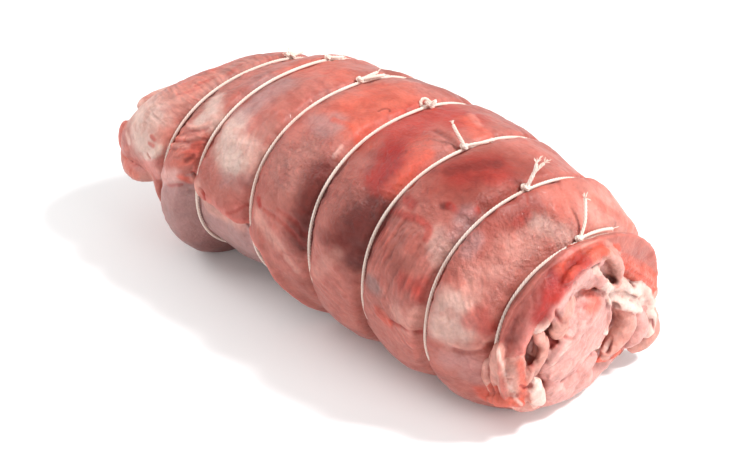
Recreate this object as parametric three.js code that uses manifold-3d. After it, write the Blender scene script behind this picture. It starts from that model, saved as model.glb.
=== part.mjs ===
// A boned shoulder of lamb, raw, rolled up and tied with seven loops of butcher's twine.
// Millimetres, +Z up. The roll lies along X with its spiral end at +X, and rests on the plane z = 0.
import * as THREE from "three";
import { mergeVertices } from "three/addons/utils/BufferGeometryUtils.js";
import Module from "manifold-3d";

const wasm = await Module();
wasm.setup();

// Driving dimensions of the twine.
const TWINE_RADIUS = 0.75;
const TWINE_SIDES = 5;
const KNOT_HEIGHT = 1.1;
const KNOT_TURN = { wide: 1.5, long: 1.9, high: 1.4, aslant: 0.7, apart: [0.3, 0.9], up: 1.2 };
const TAIL_STEPS = 4;
const TIE_LIFT = 2;

// Driving dimensions of the meat.
const COLUMNS = 36;
const SQUARENESS = 2.25;
const GROOVE_FLOOR = 1.3;
const GROOVE_HALF = 1.8;
const GROOVE_BANK = 3.4;
const GROOVE_LIP = 1.0;
const GROOVE_FREE = [0.5, 5];
const UNEVEN = 0.6;

// Each tie is a nearly upright oval round the roll. at: its place along the roll; side: how far its
// middle is off the axis; wide, high: its half axes; yaw, lean: how it slants, in degrees.
// knot is the angle of its knot from the far side over the top, and tails are the twine's loose ends:
// each lists steps along the roll, round it and out of it, counted from the knot.
const TIES = [
  {
    at: -108.5, side: -4, wide: 57, high: 42.5, yaw: -2, lean: 6, knot: 66,
    tails: [
      [[-0.2, 2, 2], [-0.6, 3, 4.5], [-1, -1.6, 10.4]],
      [[0, -2, 1.6], [0.5, -4, 2], [0.8, -6, 2.4]],
      [[0, 2, 1.6], [0, 3.5, 1.8], [0.3, 5.5, 2.2]],
    ],
  },
  {
    at: -80, side: -1.5, wide: 60, high: 47, yaw: -1, lean: 5.5, knot: 71,
    tails: [[[1.5, -2.5, 1.5], [2.4, -5.5, 1.8], [2.8, -9, 1.8]]],
  },
  {
    at: -40.5, side: 1, wide: 61, high: 48, yaw: -1, lean: -1.5, knot: 82,
    tails: [
      [[0.5, -3, 1.6], [0.8, -7, 2.2], [1, -11, 2.6]],
      [[1.2, -5, 1.6], [2, -10, 1.6], [2.4, -15, 1.2]],
    ],
  },
  {
    at: -1.5, side: 2, wide: 60, high: 48.5, yaw: -1, lean: -0.5, knot: 77,
    tails: [[[2.2, -1, 2.4], [4.2, 0.5, 3.8], [6, 3, 3.2]]],
  },
  {
    at: 37, side: 0, wide: 55.5, high: 49.5, yaw: 4.5, lean: 5, knot: 94,
    tails: [
      [[-1.5, 0.5, 3.5], [-4, 1.5, 7.5], [-6.5, 2, 11.3]],
      [[2, -3.5, 1.9], [4, -7, 2.6], [5.5, -10.5, 2.8]],
    ],
  },
  {
    at: 73.5, side: -2.5, wide: 52, high: 47.5, yaw: 2.5, lean: 6, knot: 92.5,
    tails: [
      [[0.5, -1.5, 3], [1, -3.7, 7.5], [1, -5.2, 13.4]],
      [[0.5, -1.5, 3.4], [1.2, -3.9, 7.8], [4, -9.4, 13.2]],
    ],
  },
  {
    at: 102.5, side: 1, wide: 44, high: 38.5, yaw: 2.5, lean: -1, knot: 86,
    tails: [
      [[-1.5, -3.5, 5], [-3, -5.4, 9.8], [-6, -7, 19.5]],
      [[0.8, -6, 2.4], [0.5, -14, 1.2], [0, -23, -2]],
    ],
  },
];
const FRONT = TIES.length - 1;

// How far the meat swells between two ties, over the top and far side and on the near side.
const SWELL_TOP = [0, 0.2, 0.5, 1.2, 1.6, 2];
const SWELL_NEAR = [3, 3, 3, 3.5, 3.5, 4];
const SWELL_FAR_FRONT = 9;
const SAG = 2.5;
// A swell rises steeply beside a tie and is flat halfway; the last one is fullest towards its front.
const SWELL_EASE = 0.6;
const SIDE_EASE = 0.7;
const FRONT_LEAD = 0.75;
// The rings between two ties, as shares of the way from one to the other.
const SHORT_SPAN = 33;
const SHORT_SPAN_RINGS = [0.35, 0.5, 0.65];
const LONG_SPAN_RINGS = [0.26, 0.42, 0.58, 0.74];

// The near and far side, underside and top of the groove's floor under a tie.
function grooveEdges({ side, wide, high }) {
  const across = wide - GROOVE_FLOOR;
  return [side - across, side + across, TIE_LIFT + GROOVE_FLOOR, TIE_LIFT + 2 * high - GROOVE_FLOOR];
}

// The back end is a thick flap that overhangs the core. Each ring gives its place along the roll and
// the edges of its section: near and far side, underside and top.
const BACK_RINGS = [
  [TIES[0].at - GROOVE_HALF, ...grooveEdges(TIES[0])],
  [-111.6, -62.5, 50, 3, 87.5],
  [-116, -63, 47, 18, 86.5],
  [-124, -62.5, 43, 27, 83.5],
  [-133, -61, 37, 29, 78.5],
  [-140, -60.5, 30, 30, 72],
  [-146, -58, 20, 32, 63],
  [-149.5, -51, 12, 36, 57],
  [-149, -43, 5, 39, 53],
  [-146.5, -35, -4, 42, 50],
  [-146, -20, -18, 45, 46],
];
const BACK_SQUARENESS = 2.8;
const BACK_UPRIGHT = 1.3;

// The front end swells over the last tie and closes in a low dome. Each ring gives how far it stands
// out from the tie, and how far in front of it.
const FRONT_RINGS = [
  [-GROOVE_FLOOR, GROOVE_HALF],
  [2.2, 3.4],
  [3.6, 6],
  [2.4, 8.5],
  [-2, 10],
  [-9, 10],
  [-18, 8.5],
  [-31, 8],
  [-44, 8],
];
const FRONT_LOW_SHARE = 0.45;
const FRONT_WAVE = 0.12;

// The cut edge of the outer wrap, which crosses the near side and runs under the roll:
// [place in ties from the back, angle round the roll].
const SEAM = [[-0.1, 176], [0.5, 170], [0.9, 167], [1.3, 175], [1.75, 179], [2.1, 183], [2.3, 191],
  [2.45, 208], [2.6, 222], [2.8, 244]];
const SEAM_STEP = 4.5;
const SEAM_WIDTH = 7;
const SEAM_END = 2.8;
const SEAM_FAR = 285;
const SEAM_LIP = 1.5;
const SEAM_LIP_PLACE = 0.9;

// Below that edge the core swells out, most at CORE_MIDDLE degrees, and only behind the second tie.
const CORE_SWELL = 4.5;
const CORE_MIDDLE = 218;
const CORE_FULL = 15;
const CORE_REACH = 50;
const CORE_END = 1.1;
const CORE_FADE = 0.5;

// Rounded folds of muscle and fat that stand out of the two ends, each along a smooth line.
const FOLDS = [
  { line: [[-119, -57, 40], [-135, -58, 37], [-145.5, -54, 37], [-146, -54, 52]], width: 5, depth: 5 },
  { line: [[-147, -36, 45], [-149, -20, 47], [-147, -4, 45]], width: 4.5, depth: 4 },
  { line: [[-142, -46, 66], [-147, -22, 62], [-142, 4, 60]], width: 6, depth: 4 },
  { line: [[-143, 8, 36], [-145, -12, 35], [-145, -34, 36]], width: 6, depth: 5 },
  { line: [[-110, -36, 21], [-113, -10, 22], [-110, 22, 22]], width: 13, depth: 9 },
  { line: [[-98, -61, 47.5], [-91.5, -62.5, 51], [-85, -61.5, 54]], width: 4.5, depth: 5 },
  { line: [[106, -41, 34], [108, -36, 20], [106.5, -25, 8.5]], width: 6.5, depth: 6 },
  { line: [[110, -24, 17], [112, -8, 38], [110, 8, 62]], width: 13, depth: 8 },
  { line: [[113, 14, 54], [114, 28, 38], [110, 15, 18]], width: 5.5, depth: 6 },
  { line: [[109, 1, 73], [111, 13, 76], [111.5, 20, 67], [112, 10, 63]], width: 4, depth: 5 },
  { line: [[109.5, 22, 68], [110, 36, 58], [109, 45, 46]], width: 7, depth: 5 },
  { line: [[109.5, 40, 39], [110.5, 47, 24], [109, 37, 10]], width: 8, depth: 5 },
  { line: [[108.5, -19, 10], [110, 0, 8], [108.5, 26, 9]], width: 7, depth: 4.5 },
  { line: [[113, -20, 61], [115.5, -19, 53], [114.5, -10, 51]], width: 4, depth: 5 },
];
const FOLD_OVERRUN = 0.8;
const FOLD_SIDES = 8;
const FOLD_ROWS = 9;

const radians = THREE.MathUtils.degToRad;
const blend = THREE.MathUtils.smoothstep;

// The value between the entries of a table whose rows start with a place.
function between(table, place) {
  const last = table.length - 1;
  const next = table.findIndex((row) => row[0] >= place);
  if (next <= 0) return next === 0 ? table[0][1] : table[last][1];
  const [x0, y0] = table[next - 1];
  const [x1, y1] = table[next];
  return y0 + ((y1 - y0) * (place - x0)) / (x1 - x0);
}

// A point of the unit oval, a little squarer than an ellipse.
function ovalPoint(angle, power) {
  const c = Math.cos(angle);
  const s = Math.sin(angle);
  const reach = (Math.abs(c) ** power + Math.abs(s) ** power) ** (-1 / power);
  return [reach * c, reach * s];
}

// A point on the ring between two ties, standing out from the line of the twine.
function ringPoint(tie, angle, out) {
  const [c, s] = ovalPoint(angle, SQUARENESS);
  const y = (tie.wide + out) * c;
  const z = (tie.high + out) * s;
  const x = tie.at + Math.tan(radians(tie.yaw)) * y + Math.tan(radians(tie.lean)) * z;
  return new THREE.Vector3(x, tie.side + y, tie.high + TIE_LIFT + z);
}

// The oval between two ties: it slants evenly from one to the other, and its size changes most halfway.
function mixTies(a, b, share) {
  const mixed = {};
  for (const key of ["at", "yaw", "lean"]) {
    mixed[key] = THREE.MathUtils.lerp(a[key], b[key], share);
  }
  for (const key of ["side", "wide", "high"]) {
    mixed[key] = THREE.MathUtils.lerp(a[key], b[key], blend(share, 0, 1));
  }
  return mixed;
}

// Slow swells and dips over the whole roll, so that no two ties are alike.
function unevenness(x, angle) {
  return (
    Math.sin(0.061 * x + 2 * angle) +
    0.8 * Math.sin(0.113 * x - 3 * angle + 1.3) +
    0.6 * Math.sin(0.171 * x + 5 * angle + 4.1)
  );
}

// How far the meat stands out between the ties: a groove under each, a swell between them, the step
// at the wrap's edge, and the core showing below it.
function meatOut(span, share, angle) {
  const length = TIES[span + 1].at - TIES[span].at;
  const away = Math.min(share, 1 - share) * length;
  const near = Math.max(0, -Math.cos(angle)) ** SIDE_EASE;
  const far = Math.max(0, Math.cos(angle)) ** SIDE_EASE;
  let swell = THREE.MathUtils.lerp(SWELL_TOP[span], SWELL_NEAR[span], near);
  swell += SAG * Math.max(0, -Math.sin(angle)) ** 3;
  let lead = share;
  if (span === FRONT - 1) {
    swell += SWELL_FAR_FRONT * far * share ** 2;
    lead = share ** FRONT_LEAD;
  }
  const free = blend(away, ...GROOVE_FREE);
  const place = span + share;
  const degrees = THREE.MathUtils.radToDeg(angle);
  const past = (degrees - between(SEAM, place)) / SEAM_WIDTH;
  const inside = place < SEAM_END && degrees < SEAM_FAR ? blend(past, 0, 1) : 0;
  const back = blend(CORE_END - place, 0, CORE_FADE);
  const under = blend(-Math.abs(degrees - CORE_MIDDLE), -CORE_REACH, -CORE_FULL);
  const core = CORE_SWELL * inside * under * back;
  const lip = SEAM_LIP * Math.exp(-((past + SEAM_LIP_PLACE) ** 2)) * (place < SEAM_END ? 1 : 0);
  return (
    -GROOVE_FLOOR +
    (GROOVE_FLOOR + GROOVE_LIP) * blend(away, GROOVE_HALF, GROOVE_HALF + GROOVE_BANK) +
    free * swell * Math.sin(Math.PI * lead) ** SWELL_EASE +
    free * UNEVEN * unevenness(TIES[span].at + away, angle) +
    free * (core + lip - SEAM_STEP * inside * (1 - back))
  );
}

function middlePoint(station, angle) {
  const span = Math.min(Math.floor(station), FRONT - 1);
  const share = station - span;
  return ringPoint(mixTies(TIES[span], TIES[span + 1], share), angle, meatOut(span, share, angle));
}

// Rings of the two ends, counted from the end tie outwards.
function backPoint(ring, angle) {
  const [x, near, far, low, high] = BACK_RINGS[ring];
  const share = ring / (BACK_RINGS.length - 1);
  const power = THREE.MathUtils.lerp(SQUARENESS, BACK_SQUARENESS, Math.min(1, 2 * share));
  const [c, s] = ovalPoint(angle, power);
  const y = ((far - near) / 2) * c;
  const z = ((high - low) / 2) * s;
  const slant = Math.max(0, 1 - BACK_UPRIGHT * share);
  const shift = Math.tan(radians(TIES[0].yaw)) * y + Math.tan(radians(TIES[0].lean)) * z;
  return new THREE.Vector3(x + slant * shift, (near + far) / 2 + y, (low + high) / 2 + z);
}

function frontPoint(ring, angle) {
  const tie = TIES[FRONT];
  const [out, ahead] = FRONT_RINGS[ring];
  const size = 1 + out / tie.wide;
  const [c, s] = ovalPoint(angle, SQUARENESS);
  const y = tie.wide * size * c;
  const z = tie.high * size * s;
  const low = ring > 0 ? Math.max(0, -s) * Math.min(1, size) : 0;
  const wavy = ring > 1 ? FRONT_WAVE * unevenness(tie.at, angle) * Math.min(1, size) : 0;
  const slant = Math.tan(radians(tie.yaw)) * y + Math.tan(radians(tie.lean)) * z;
  const x = tie.at + ahead * (1 + wavy - FRONT_LOW_SHARE * low) + slant;
  return new THREE.Vector3(x, tie.side + y, tie.high + TIE_LIFT + z);
}

// The rings of the whole roll from the front pole to the back pole, as functions of the angle.
function meatRings() {
  const rings = [];
  for (let ring = FRONT_RINGS.length - 1; ring >= 0; ring--) {
    rings.push((angle) => frontPoint(ring, angle));
  }
  for (let span = FRONT - 1; span >= 0; span--) {
    const length = TIES[span + 1].at - TIES[span].at;
    const bank = [GROOVE_HALF / length, (GROOVE_HALF + GROOVE_BANK) / length];
    const middle = length > SHORT_SPAN ? LONG_SPAN_RINGS : SHORT_SPAN_RINGS;
    const shares = [0, ...bank, ...middle, ...bank.map((b) => 1 - b).reverse(), 1];
    const stations = span === FRONT - 1 ? shares : shares.slice(0, -1);
    for (const share of stations.reverse()) {
      rings.push((angle) => middlePoint(span + share, angle));
    }
  }
  for (let ring = 0; ring < BACK_RINGS.length; ring++) {
    rings.push((angle) => backPoint(ring, angle));
  }
  return rings;
}

// Moves each vertex of a grid of columns and rows to the place that a function gives it.
function reshape(geometry, columns, place) {
  const position = geometry.attributes.position;
  for (let i = 0; i < position.count; i++) {
    const column = i % (columns + 1);
    const row = Math.floor(i / (columns + 1));
    const p = place(column % columns, row);
    position.setXYZ(i, p.x, p.y, p.z);
  }
  return geometry;
}

function solid(geometry) {
  const bare = geometry.clone();
  bare.deleteAttribute("normal");
  bare.deleteAttribute("uv");
  const merged = mergeVertices(bare, 1e-3);
  return new wasm.Manifold(
    new wasm.Mesh({
      numProp: 3,
      vertProperties: merged.attributes.position.array,
      triVerts: new Uint32Array(merged.index.array),
    }),
  );
}

// The pieces as one body: a hollow that they close off between them is filled.
function joined(geometries) {
  const whole = geometries.map(solid).reduce((sum, piece) => sum.add(piece));
  return whole.decompose().sort((a, b) => b.volume() - a.volume())[0];
}

function meshOf(name, manifold, material) {
  const { numProp, numVert, vertProperties, triVerts } = manifold.getMesh();
  const positions = new Float32Array(numVert * 3);
  for (let i = 0; i < numVert; i++) {
    positions.set(vertProperties.subarray(i * numProp, i * numProp + 3), i * 3);
  }
  const geometry = new THREE.BufferGeometry();
  geometry.setAttribute("position", new THREE.BufferAttribute(positions, 3));
  geometry.setIndex(new THREE.BufferAttribute(triVerts, 1));
  geometry.computeVertexNormals();
  const mesh = new THREE.Mesh(geometry, material);
  mesh.name = name;
  return mesh;
}

// A fold: a round-ended bar along a smooth line, as a sphere's rings strung along that line.
function fold({ line, width, depth }) {
  const curve = new THREE.CatmullRomCurve3(line.map((p) => new THREE.Vector3(...p)));
  const ahead = new THREE.Vector3(1, 0, 0);
  const geometry = new THREE.SphereGeometry(1, FOLD_SIDES, FOLD_ROWS);
  return reshape(geometry, FOLD_SIDES, (column, row) => {
    const turn = (2 * Math.PI * column) / FOLD_SIDES;
    const tilt = (Math.PI * row) / FOLD_ROWS;
    const share = (1 - Math.cos(tilt)) / 2;
    const tangent = curve.getTangent(share);
    const across = new THREE.Vector3().crossVectors(tangent, ahead).normalize();
    const out = new THREE.Vector3().crossVectors(across, tangent).normalize();
    return curve
      .getPoint(share)
      .addScaledVector(tangent, -Math.cos(tilt) * width * FOLD_OVERRUN)
      .addScaledVector(across, Math.cos(turn) * Math.sin(tilt) * width)
      .addScaledVector(out, Math.sin(turn) * Math.sin(tilt) * depth);
  });
}

function meat(material) {
  const rings = meatRings();
  const geometry = new THREE.SphereGeometry(1, COLUMNS, rings.length - 1);
  const roll = reshape(geometry, COLUMNS, (column, row) => {
    const pole = row === 0 || row === rings.length - 1;
    const p = rings[row](pole ? 0 : (2 * Math.PI * column) / COLUMNS);
    p.z = Math.max(0, p.z);
    return p;
  });
  return meshOf("rolled_shoulder", joined([roll, ...FOLDS.map(fold)]), material);
}

// One closed loop of twine, lying in its groove.
function loop(tie) {
  const geometry = new THREE.TorusGeometry(1, 0.1, TWINE_SIDES, COLUMNS);
  return reshape(geometry, COLUMNS, (column, row) => {
    const angle = (2 * Math.PI * column) / COLUMNS;
    const turn = (2 * Math.PI * (row % TWINE_SIDES)) / TWINE_SIDES;
    const out = TWINE_RADIUS * Math.cos(turn);
    return ringPoint(tie, angle, out).add(new THREE.Vector3(TWINE_RADIUS * Math.sin(turn), 0, 0));
  });
}

// The directions at a knot: along the roll, round it and out of it.
function knotFrame(tie) {
  const angle = radians(tie.knot);
  const at = ringPoint(tie, angle, 0);
  const round = ringPoint(tie, angle + 0.02, 0).sub(at).normalize();
  const along = new THREE.Vector3(1, 0, 0).addScaledVector(round, -round.x).normalize();
  const out = new THREE.Vector3().crossVectors(round, along);
  return { at, along, round, out };
}

function fromKnot(frame, [along, round, out]) {
  return frame.at
    .clone()
    .addScaledVector(frame.along, along)
    .addScaledVector(frame.round, round)
    .addScaledVector(frame.out, out);
}

// A loose end of the twine, from inside the knot out along its steps.
function tail(frame, steps) {
  const points = [[0, 0, KNOT_HEIGHT], ...steps].map((step) => fromKnot(frame, step));
  const corners = [];
  for (let side = 0; side < TWINE_SIDES; side++) {
    const turn = (2 * Math.PI * side) / TWINE_SIDES;
    corners.push(new THREE.Vector2(Math.cos(turn), Math.sin(turn)).multiplyScalar(TWINE_RADIUS));
  }
  return new THREE.ExtrudeGeometry(new THREE.Shape(corners), {
    steps: TAIL_STEPS,
    extrudePath: new THREE.CatmullRomCurve3(points),
  });
}

// The knot: two crossed turns of twine drawn tight on top of the loop.
function knot(frame) {
  return [-1, 1].map((side) => {
    const lump = new THREE.IcosahedronGeometry(1, 1);
    const basis = new THREE.Matrix4().makeBasis(frame.round, frame.along, frame.out);
    lump.scale(KNOT_TURN.wide, KNOT_TURN.long, KNOT_TURN.high);
    lump.rotateZ(side * KNOT_TURN.aslant);
    lump.applyMatrix4(basis);
    const [along, round] = KNOT_TURN.apart;
    const centre = fromKnot(frame, [along * side, round * side, KNOT_TURN.up]);
    return lump.translate(centre.x, centre.y, centre.z);
  });
}

const raw = new THREE.MeshStandardMaterial({ color: 0xc0786c, roughness: 0.45, metalness: 0 });
const cotton = new THREE.MeshStandardMaterial({ color: 0xe9cfc0, roughness: 0.85, metalness: 0 });

const shoulder = new THREE.Group();
shoulder.name = "tied_lamb_shoulder";
shoulder.add(meat(raw));
TIES.forEach((tie, i) => {
  const frame = knotFrame(tie);
  const pieces = [loop(tie), ...knot(frame), ...tie.tails.map((steps) => tail(frame, steps))];
  shoulder.add(meshOf("tie_" + (i + 1), joined(pieces), cotton));
});

// The origin lies under the middle of the roll.
const middle = new THREE.Box3().setFromObject(shoulder).getCenter(new THREE.Vector3());
shoulder.position.set(-middle.x, -middle.y, 0);

export default shoulder;
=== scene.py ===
import math

import bpy
import numpy as np
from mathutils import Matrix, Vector, noise


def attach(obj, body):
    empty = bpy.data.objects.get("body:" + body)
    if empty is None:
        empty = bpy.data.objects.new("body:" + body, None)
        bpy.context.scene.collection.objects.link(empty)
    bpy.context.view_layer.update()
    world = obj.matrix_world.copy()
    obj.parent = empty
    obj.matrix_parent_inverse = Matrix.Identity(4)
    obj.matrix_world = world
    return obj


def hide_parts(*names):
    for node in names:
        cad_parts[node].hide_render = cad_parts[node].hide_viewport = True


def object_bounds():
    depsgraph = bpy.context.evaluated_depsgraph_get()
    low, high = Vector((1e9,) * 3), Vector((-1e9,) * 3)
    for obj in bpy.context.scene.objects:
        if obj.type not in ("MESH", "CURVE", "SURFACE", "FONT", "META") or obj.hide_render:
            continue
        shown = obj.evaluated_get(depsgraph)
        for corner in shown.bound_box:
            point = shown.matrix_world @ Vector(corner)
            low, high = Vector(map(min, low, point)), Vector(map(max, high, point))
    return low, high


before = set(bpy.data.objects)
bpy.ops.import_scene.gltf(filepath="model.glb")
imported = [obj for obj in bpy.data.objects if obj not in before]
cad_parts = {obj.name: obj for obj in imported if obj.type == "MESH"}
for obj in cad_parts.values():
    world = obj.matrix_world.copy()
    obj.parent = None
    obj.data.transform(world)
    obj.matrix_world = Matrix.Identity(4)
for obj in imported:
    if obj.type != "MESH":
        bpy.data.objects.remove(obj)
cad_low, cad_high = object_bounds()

# The roll. A boned shoulder of lamb, trimmed flat, rolled up tight and tied, so its skin is the outer
# wrap's muscle under a thin silver membrane. The surface is swept along the roll through the ovals of
# its seven ties, as the CAD solid is, and is given in millimetres round the roll's own axis.
MIDDLE = np.array([16.161, 2.011, 0])
TIE_LIFT = 2
SQUARENESS = 2.25
GROOVE_FLOOR = 0.7
GROOVE_LIP = 1.1
# Distances from the twine over which the groove's bank rises, and over which the swell comes in.
GROOVE_BANK = [0.7, 4.2]
GROOVE_FREE = [0.5, 5]
UNEVEN = 0.6
# at, side, wide, high, yaw and lean of each tie.
TIES = np.array([
    [-108.5, -4, 57, 42.5, -2, 6],
    [-80, -1.5, 60, 47, -1, 5.5],
    [-40.5, 1, 61, 48, -1, -1.5],
    [-1.5, 2, 60, 48.5, -1, -0.5],
    [37, 0, 55.5, 49.5, 4.5, 5],
    [73.5, -2.5, 52, 47.5, 2.5, 6],
    [102.5, 1, 44, 38.5, 2.5, -1],
])
FRONT = len(TIES) - 1
SWELL_TOP = [0, 0.2, 0.5, 1.2, 1.6, 2]
SWELL_NEAR = [3, 3, 3, 3.5, 3.5, 4]
SWELL_FAR_FRONT = 9
SAG = 2.5
SIDE_EASE = 0.7
SWELL_EASE = 0.6
FRONT_LEAD = 0.75
# Place along the roll, near and far side, underside and top of each ring of the overhanging back end.
BACK_RINGS = [
    [-110.3, -59.7, 51.7, 3.3, 85.7],
    [-111.6, -62.5, 50, 3, 87.5],
    [-116, -63, 47, 18, 86.5],
    [-124, -62.5, 43, 27, 83.5],
    [-133, -61, 37, 29, 78.5],
    [-140, -60.5, 30, 30, 72],
    [-146, -58, 20, 32, 63],
    [-149.5, -51, 12, 36, 57],
    [-149, -43, 5, 39, 53],
    [-146.5, -35, -4, 42, 50],
    [-146, -20, -18, 45, 46],
]
BACK_SQUARENESS = 2.8
BACK_UPRIGHT = 1.3
# How far each ring of the front end stands out from the last tie, and how far ahead of it.
FRONT_RINGS = [[-0.7, 0.6], [2.2, 3.4], [3.6, 6], [2.4, 8.5], [-2, 10],
               [-9, 10], [-18, 8.5], [-31, 8], [-44, 8]]
FRONT_LOW_SHARE = 0.45
FRONT_WAVE = 0.12
# The cut edge of the outer wrap: place in ties from the back, angle round the roll in degrees.
SEAM = np.array([[-0.1, 176], [0.5, 170], [0.9, 167], [1.3, 175], [1.75, 179], [2.1, 183], [2.3, 191],
                 [2.45, 208], [2.6, 222], [2.8, 244]])
SEAM_END = 2.8
SEAM_FAR = 285
SEAM_STEP = 4.5
SEAM_WIDTH = 7
SEAM_LIP = 1.5
SEAM_LIP_PLACE = 0.9
# Below that edge the core swells out round CORE_MIDDLE degrees, and only near the back.
CORE_SWELL = 4.5
CORE_MIDDLE = 218
CORE_FULL = 15
CORE_REACH = 50
CORE_END = 1.1
CORE_FADE = 0.5


def blend(value, low, high):
    """0 below low, 1 above high, and smooth between them."""
    share = np.clip((value - low) / (high - low), 0, 1)
    return share * share * (3 - 2 * share)


def oval(angle, power):
    """A point of the unit oval, a little squarer than an ellipse."""
    c, s = np.cos(angle), np.sin(angle)
    reach = (np.abs(c) ** power + np.abs(s) ** power) ** (-1 / power)
    return reach * c, reach * s


def ring_point(tie, angle, out):
    """A point on a slanting oval, standing out from the line of the twine."""
    at, side, wide, high, yaw, lean = np.moveaxis(np.asarray(tie, float), -1, 0)
    c, s = oval(angle, SQUARENESS)
    y, z = (wide + out) * c, (high + out) * s
    x = at + np.tan(np.radians(yaw)) * y + np.tan(np.radians(lean)) * z
    return np.stack([x, side + y, high + TIE_LIFT + z], -1)


def mix_ties(place):
    """The oval at a place: it slants evenly from tie to tie, and its size changes most halfway."""
    span = np.clip(np.floor(place).astype(int), 0, FRONT - 1)
    share = (place - span)[..., None]
    even = TIES[span] + (TIES[span + 1] - TIES[span]) * share
    eased = TIES[span] + (TIES[span + 1] - TIES[span]) * blend(share, 0, 1)
    return np.concatenate([even[..., :1], eased[..., 1:4], even[..., 4:]], -1)


def unevenness(x, angle):
    """Slow swells and dips over the whole roll, so that no two ties are alike."""
    return (np.sin(0.061 * x + 2 * angle) + 0.8 * np.sin(0.113 * x - 3 * angle + 1.3)
            + 0.6 * np.sin(0.171 * x + 5 * angle + 4.1))


def past_seam(place, angle):
    """How far below the wrap's cut edge, in widths of its step."""
    return (np.degrees(angle) % 360 - np.interp(place, SEAM[:, 0], SEAM[:, 1])) / SEAM_WIDTH


def inside_seam(place, angle):
    """1 on the core below the wrap's cut edge, 0 on the wrap."""
    below = (place < SEAM_END) & (np.degrees(angle) % 360 < SEAM_FAR)
    return np.where(below, blend(past_seam(place, angle), 0, 1), 0)


def meat_out(place, angle):
    """How far the meat stands out: grooves under the ties, swells between them, and the cut edge."""
    span = np.clip(np.floor(place).astype(int), 0, FRONT - 1)
    share = place - span
    length = TIES[span + 1, 0] - TIES[span, 0]
    away = np.minimum(share, 1 - share) * length
    near = np.maximum(0, -np.cos(angle)) ** SIDE_EASE
    far = np.maximum(0, np.cos(angle)) ** SIDE_EASE
    swell = np.take(SWELL_TOP, span) * (1 - near) + np.take(SWELL_NEAR, span) * near
    swell = swell + SAG * np.maximum(0, -np.sin(angle)) ** 3
    last = span == FRONT - 1
    swell = swell + np.where(last, SWELL_FAR_FRONT * far * share ** 2, 0)
    lead = np.where(last, share ** FRONT_LEAD, share)
    free = blend(away, *GROOVE_FREE)
    past, inside = past_seam(place, angle), inside_seam(place, angle)
    back = blend(CORE_END - place, 0, CORE_FADE)
    under = blend(-np.abs(np.degrees(angle) % 360 - CORE_MIDDLE), -CORE_REACH, -CORE_FULL)
    core = CORE_SWELL * inside * under * back
    lip = SEAM_LIP * np.exp(-((past + SEAM_LIP_PLACE) ** 2)) * (place < SEAM_END)
    swell = swell * np.sin(np.pi * np.clip(lead, 0, 1)) ** SWELL_EASE
    return (-GROOVE_FLOOR + (GROOVE_FLOOR + GROOVE_LIP) * blend(away, *GROOVE_BANK)
            + free * (swell + UNEVEN * unevenness(TIES[span, 0] + away, angle))
            + free * (core + lip - SEAM_STEP * inside * (1 - back)))


def on_roll(place, angle):
    """A point of the meat between two ties."""
    place, angle = np.broadcast_arrays(np.asarray(place, float), np.asarray(angle, float))
    return ring_point(mix_ties(place), angle, meat_out(place, angle))


def smooth_row(table, step):
    """A row between the rows of a table, on a smooth curve through them."""
    rows = np.array(table, float)
    i = int(np.clip(math.floor(step), 0, len(rows) - 2))
    f = step - i
    a, b, c, d = (rows[np.clip(j, 0, len(rows) - 1)] for j in (i - 1, i, i + 1, i + 2))
    return b + 0.5 * f * (c - a + f * (2 * a - 5 * b + 4 * c - d + f * (3 * (b - c) + d - a)))


def back_end(ring, angle):
    """A point of the overhanging back end, on a ring counted from the first tie."""
    x, near, far, low, high = smooth_row(BACK_RINGS, ring)
    share = ring / (len(BACK_RINGS) - 1)
    c, s = oval(angle, SQUARENESS + (BACK_SQUARENESS - SQUARENESS) * min(1, 2 * share))
    y, z = (far - near) / 2 * c, (high - low) / 2 * s
    shift = math.tan(math.radians(TIES[0, 4])) * y + math.tan(math.radians(TIES[0, 5])) * z
    x = x + max(0, 1 - BACK_UPRIGHT * share) * shift
    return np.stack([x, (near + far) / 2 + y, (low + high) / 2 + z], -1)


def front_end(ring, angle):
    """A point of the front end, on a ring counted from the last tie."""
    at, side, wide, high, yaw, lean = TIES[FRONT]
    out, ahead = smooth_row(FRONT_RINGS, ring)
    size = max(1 + out / wide, 0.005)
    c, s = oval(angle, SQUARENESS)
    y, z = wide * size * c, high * size * s
    low = min(1, ring) * np.maximum(0, -s) * min(1, size)
    wavy = min(1, ring / 2) * FRONT_WAVE * unevenness(at, angle) * min(1, size)
    slant = math.tan(math.radians(yaw)) * y + math.tan(math.radians(lean)) * z
    x = at + ahead * (1 + wavy - FRONT_LOW_SHARE * low) + slant
    return np.stack([x, side + y, high + TIE_LIFT + z], -1)


def coordinates(mesh):
    flat = np.empty(len(mesh.vertices) * 3, np.float32)
    mesh.vertices.foreach_get("co", flat)
    return flat.reshape(-1, 3).astype(float)


def move(mesh, points):
    mesh.vertices.foreach_set("co", np.asarray(points, np.float32).ravel())
    mesh.update()


def apply_modifier(piece, kind, **settings):
    bpy.context.view_layer.objects.active = piece
    made = piece.modifiers.new(kind.title(), kind)
    for key, value in settings.items():
        setattr(made, key, value)
    bpy.ops.object.modifier_apply(modifier=made.name)


def wrapped(name, columns, rows):
    """A sheet that closes round into a skin, and the row and the angle of each of its vertices."""
    bpy.ops.object.select_all(action="DESELECT")
    bpy.ops.mesh.primitive_grid_add(x_subdivisions=columns, y_subdivisions=rows, size=2, calc_uvs=False)
    made = bpy.context.active_object
    made.name = name
    at = coordinates(made.data)
    return made, np.rint((1 - at[:, 1]) / 2 * rows).astype(int), (at[:, 0] + 1) * math.pi


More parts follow.
